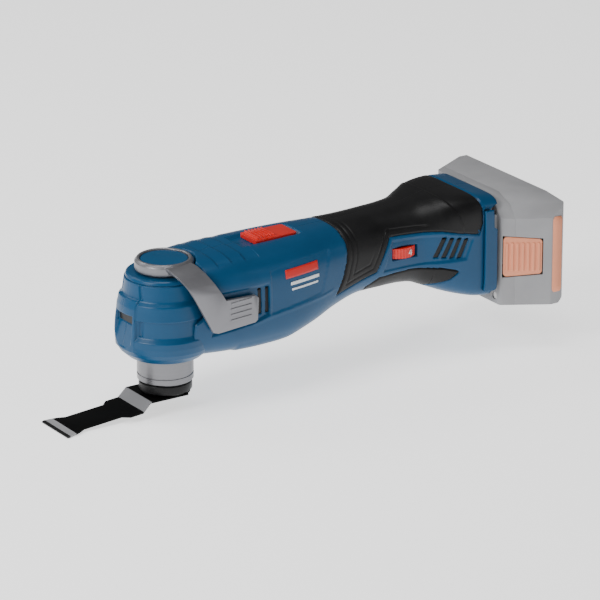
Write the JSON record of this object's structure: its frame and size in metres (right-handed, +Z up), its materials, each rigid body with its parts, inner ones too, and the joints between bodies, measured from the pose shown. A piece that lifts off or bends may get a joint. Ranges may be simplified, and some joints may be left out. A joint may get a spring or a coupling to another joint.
{
  "type": "oscillating multi tool",
  "caption": "Cordless oscillating multi tool with a quick-clamp lever, slide switch, speed dial, rubber grip, slide-on battery and cranked plunge-cut blade.",
  "frame": {"origin": "on the output spindle's axis, at the lower end face of the metal neck", "axes": "+Z up along the spindle's axis, +X towards the battery along the body, -Y the side with the clamping lever's tab and the speed dial"},
  "size_m": [0.3834, 0.1135, 0.1161],
  "materials": {
    "blue_shell": "satin moulded",
    "grip_rubber": "matt",
    "neck_metal": "turned satin",
    "seal_rubber": "matt",
    "cast_case": "die cast",
    "bearing_steel": "ground",
    "laminations": "stacked sheet",
    "copper": "enamelled wire",
    "black_plastic": "moulded",
    "clear_lens": "clear",
    "board": "solder mask",
    "sink_aluminium": "extruded",
    "contact_brass": "plated",
    "screw_steel": "zinc plated",
    "hard_steel": "ground",
    "black_steel": "black oxide",
    "blade_coating": "black coated",
    "tooth_steel": "ground teeth",
    "magnet": "nickel plated",
    "lever_metal": "painted die casting",
    "blue_cap": "satin moulded",
    "red_plastic": "moulded",
    "pack_shell": "moulded",
    "cell_can": "shrink sleeve",
    "strap_nickel": "nickel sheet",
    "pack_button": "moulded"
  },
  "bodies": {
    "housing": {"housing_left": "blue_shell", "housing_right": "blue_shell", "grip_left": "grip_rubber", "grip_right": "grip_rubber", "neck_collar": "neck_metal", "spindle_seal": "seal_rubber", "gear_case": "cast_case", "spindle_bearing_lower": "bearing_steel", "spindle_bearing_upper": "bearing_steel", "gear_case_cover": "cast_case", "stator": "laminations", "windings": "copper", "motor_front_plate": "cast_case", "motor_bearing_front": "bearing_steel", "motor_bearing_rear": "bearing_steel", "motor_rear_mount": "black_plastic", "lamp_lens": "clear_lens", "lamp_board": "board", "switch_module": "black_plastic", "dial_board": "board", "controller_tray": "black_plastic", "controller_board": "board", "heat_sink": "sink_aluminium", "terminal_carrier": "black_plastic", "contact_tongues": "contact_brass", "housing_screws": "screw_steel"},
    "spindle": {"spindle": "hard_steel", "rocker_fork": "hard_steel", "tool_holder": "black_steel", "jaw_pins": "hard_steel", "blade": "blade_coating", "blade_teeth": "tooth_steel", "clamp_spring": "screw_steel"},
    "clamp_rod": {"clamp_rod": "hard_steel"},
    "jaw_front": {"clamp_jaw_front": "black_steel"},
    "jaw_rear": {"clamp_jaw_rear": "black_steel"},
    "rotor": {"motor_shaft": "hard_steel", "eccentric_bearing": "bearing_steel", "balance_weight": "contact_brass", "rotor_core": "laminations", "rotor_magnets": "magnet", "cooling_fan": "black_plastic"},
    "lever": {"clamping_lever": "lever_metal", "lever_cap": "blue_cap", "lever_cam": "cast_case"},
    "slider": {"slide_switch": "red_plastic", "switch_link": "black_plastic"},
    "dial": {"speed_dial": "red_plastic"},
    "battery": {"battery_rail_shell": "pack_shell", "battery_cover": "pack_shell", "battery_cells": "cell_can", "cell_holders": "black_plastic", "cell_straps": "strap_nickel", "battery_board": "board", "battery_clips": "contact_brass", "battery_screws": "screw_steel", "latch_spring": "screw_steel"},
    "button": {"release_button": "pack_button"},
    "latch": {"latch": "pack_button"}
  },
  "joints": [
    {"name": "spindle_oscillation", "type": "hinge", "parent": "housing", "child": "spindle", "pos_m": [0, 0, 0], "axis": [0, 0, 1], "range_deg": [-1.7, 1.7]},
    {"name": "rotor_spin", "type": "hinge", "parent": "housing", "child": "rotor", "pos_m": [0, 0, 0.044], "axis": [1, 0, 0], "continuous": true},
    {"name": "lever_swing", "type": "hinge", "parent": "housing", "child": "lever", "pos_m": [0, 0, 0.083], "axis": [0, 0, -1], "range_deg": [0, 110]},
    {"name": "clamp_push", "type": "slide", "parent": "spindle", "child": "clamp_rod", "axis": [0, 0, -1], "range_m": [0, 0.0025], "deforming": ["clamp_spring"]},
    {"name": "jaw_front_tilt", "type": "hinge", "parent": "spindle", "child": "jaw_front", "pos_m": [-0.0056, 0, -0.0046], "axis": [0, -1, 0], "range_deg": [0, 12]},
    {"name": "jaw_rear_tilt", "type": "hinge", "parent": "spindle", "child": "jaw_rear", "pos_m": [0.0056, 0, -0.0046], "axis": [0, 1, 0], "range_deg": [0, 12]},
    {"name": "switch_slide", "type": "slide", "parent": "housing", "child": "slider", "axis": [-1, 0, 0], "range_m": [0, 0.008]},
    {"name": "dial_turn", "type": "hinge", "parent": "housing", "child": "dial", "pos_m": [0.18, -0.0158, 0.063], "axis": [0, 0, 1], "range_deg": [-150, 100]},
    {"name": "battery_slide", "type": "slide", "parent": "housing", "child": "battery", "axis": [0, -1, 0], "range_m": [0, 0.075]},
    {"name": "button_press", "type": "slide", "parent": "battery", "child": "button", "axis": [0.512, 0.859, 0], "range_m": [0, 0.003], "stiffness_N_per_m": 600},
    {"name": "latch_retract", "type": "slide", "parent": "battery", "child": "latch", "axis": [1, 0, 0], "range_m": [0, 0.0055], "deforming": ["latch_spring"]}
  ],
  "couplings": [
    {"joint": "clamp_push", "follows": "lever_swing", "m_per_rad": 0.001302},
    {"joint": "jaw_front_tilt", "follows": "lever_swing", "ratio": 0.10908},
    {"joint": "jaw_rear_tilt", "follows": "lever_swing", "ratio": 0.10908},
    {"joint": "latch_retract", "follows": "button_press", "ratio": 1.8331}
  ]
}
